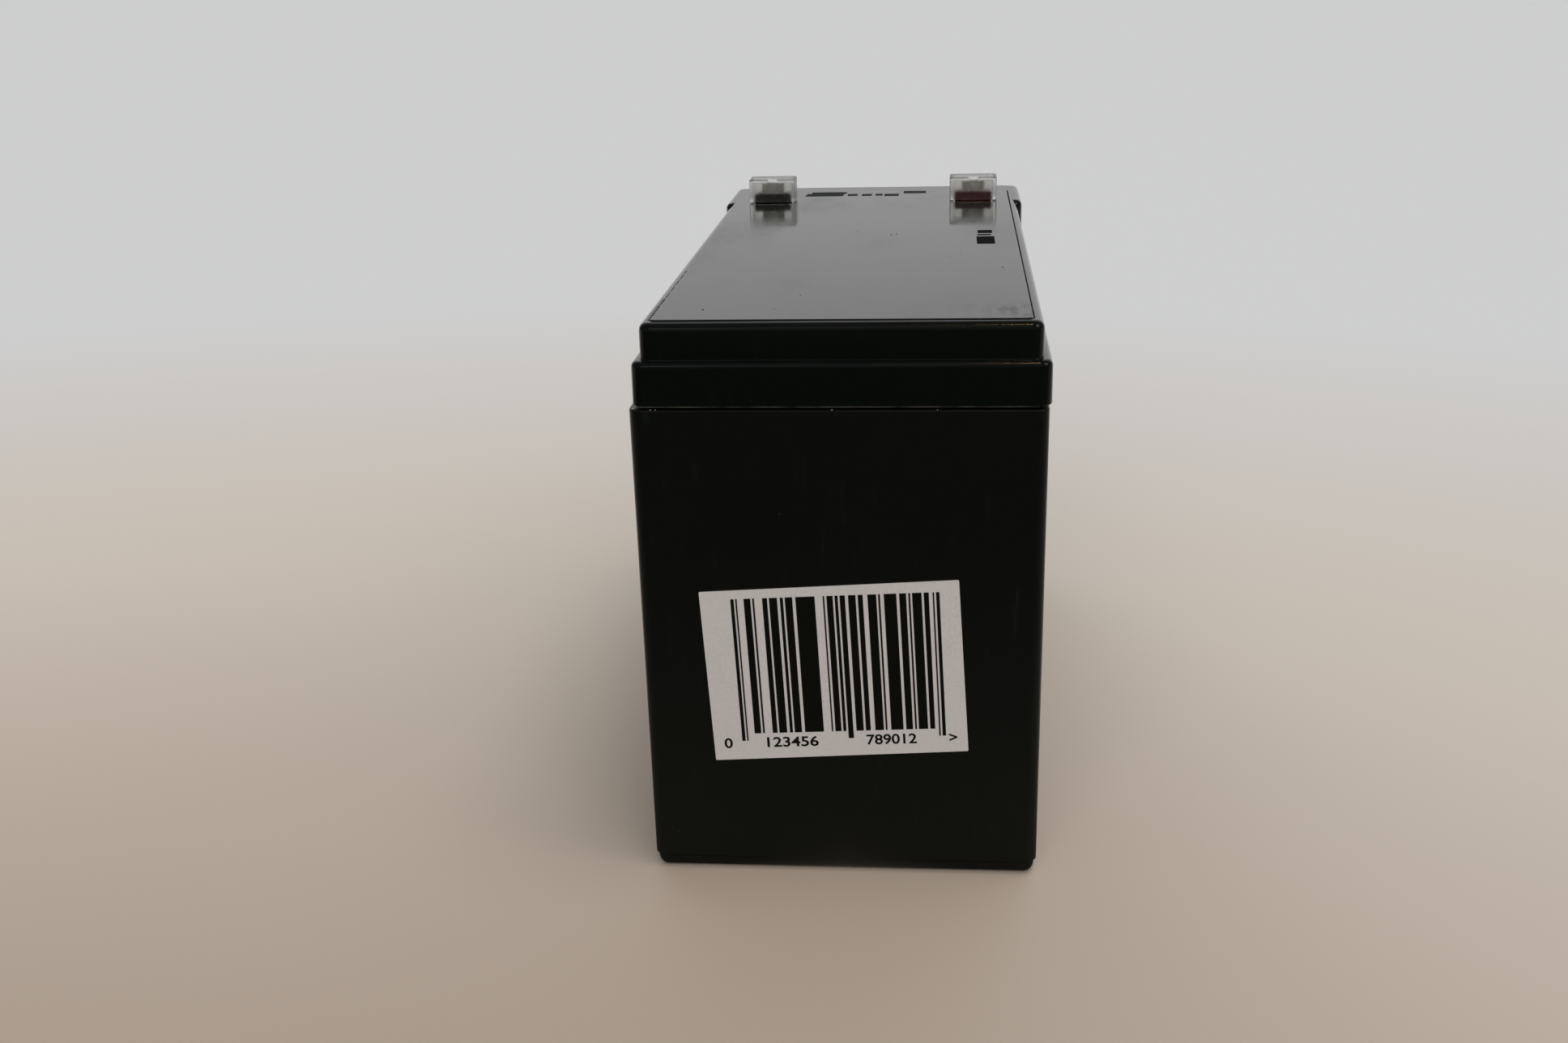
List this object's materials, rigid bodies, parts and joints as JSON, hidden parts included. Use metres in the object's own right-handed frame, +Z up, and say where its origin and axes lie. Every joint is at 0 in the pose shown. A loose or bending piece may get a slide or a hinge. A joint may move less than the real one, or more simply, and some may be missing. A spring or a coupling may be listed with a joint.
{
  "type": "sealed lead acid battery",
  "caption": "Rectangular sealed lead acid block battery in a black moulded container with a stepped lid, flush cover plate, clear-capped blade terminals and a code label on one end.",
  "frame": {"origin": "middle of the bounding box's base, on the surface that the battery stands on", "axes": "+X across the battery towards the positive terminal, +Y along it from the labelled end to the terminal end, +Z up"},
  "size_m": [0.0656, 0.151, 0.0993],
  "materials": {
    "case_abs": "black injection moulded ABS, satin",
    "plate_abs": "black ABS plate, polished mould",
    "sealing_resin": "black epoxy, cured glossy",
    "valve_rubber": "black EPDM rubber, matt",
    "lead": "cast and pasted lead, dull grey",
    "positive_paste": "brown lead dioxide paste, matt",
    "glass_mat": "white absorbent glass mat",
    "tinned_brass": "tin plated brass, satin",
    "red_resin": "dark red moulded resin",
    "black_resin": "black moulded resin",
    "clear_vinyl": "clear moulded vinyl, slightly cloudy",
    "label_paper": "white coated label paper with black print"
  },
  "bodies": {
    "root": {"barcode_label": "label_paper", "cell_link_1": "lead", "cell_link_2": "lead", "cell_link_3": "lead", "cell_link_4": "lead", "cell_link_5": "lead", "container": "case_abs", "cover_plate": "plate_abs", "glass_mat_1": "glass_mat", "glass_mat_2": "glass_mat", "glass_mat_3": "glass_mat", "glass_mat_4": "glass_mat", "glass_mat_5": "glass_mat", "glass_mat_6": "glass_mat", "lid": "case_abs", "lid_resin_seal": "sealing_resin", "negative_plates_1": "lead", "negative_plates_2": "lead", "negative_plates_3": "lead", "negative_plates_4": "lead", "negative_plates_5": "lead", "negative_plates_6": "lead", "negative_post": "lead", "negative_seal_ring": "valve_rubber", "negative_terminal_base": "black_resin", "negative_terminal_cap": "clear_vinyl", "negative_terminal_tab": "tinned_brass", "positive_plates_1": "positive_paste", "positive_plates_2": "positive_paste", "positive_plates_3": "positive_paste", "positive_plates_4": "positive_paste", "positive_plates_5": "positive_paste", "positive_plates_6": "positive_paste", "positive_post": "lead", "positive_seal_ring": "valve_rubber", "positive_terminal_base": "red_resin", "positive_terminal_cap": "clear_vinyl", "positive_terminal_tab": "tinned_brass", "valve_cap_1": "valve_rubber", "valve_cap_2": "valve_rubber", "valve_cap_3": "valve_rubber", "valve_cap_4": "valve_rubber", "valve_cap_5": "valve_rubber", "valve_cap_6": "valve_rubber"}
  },
  "joints": []
}
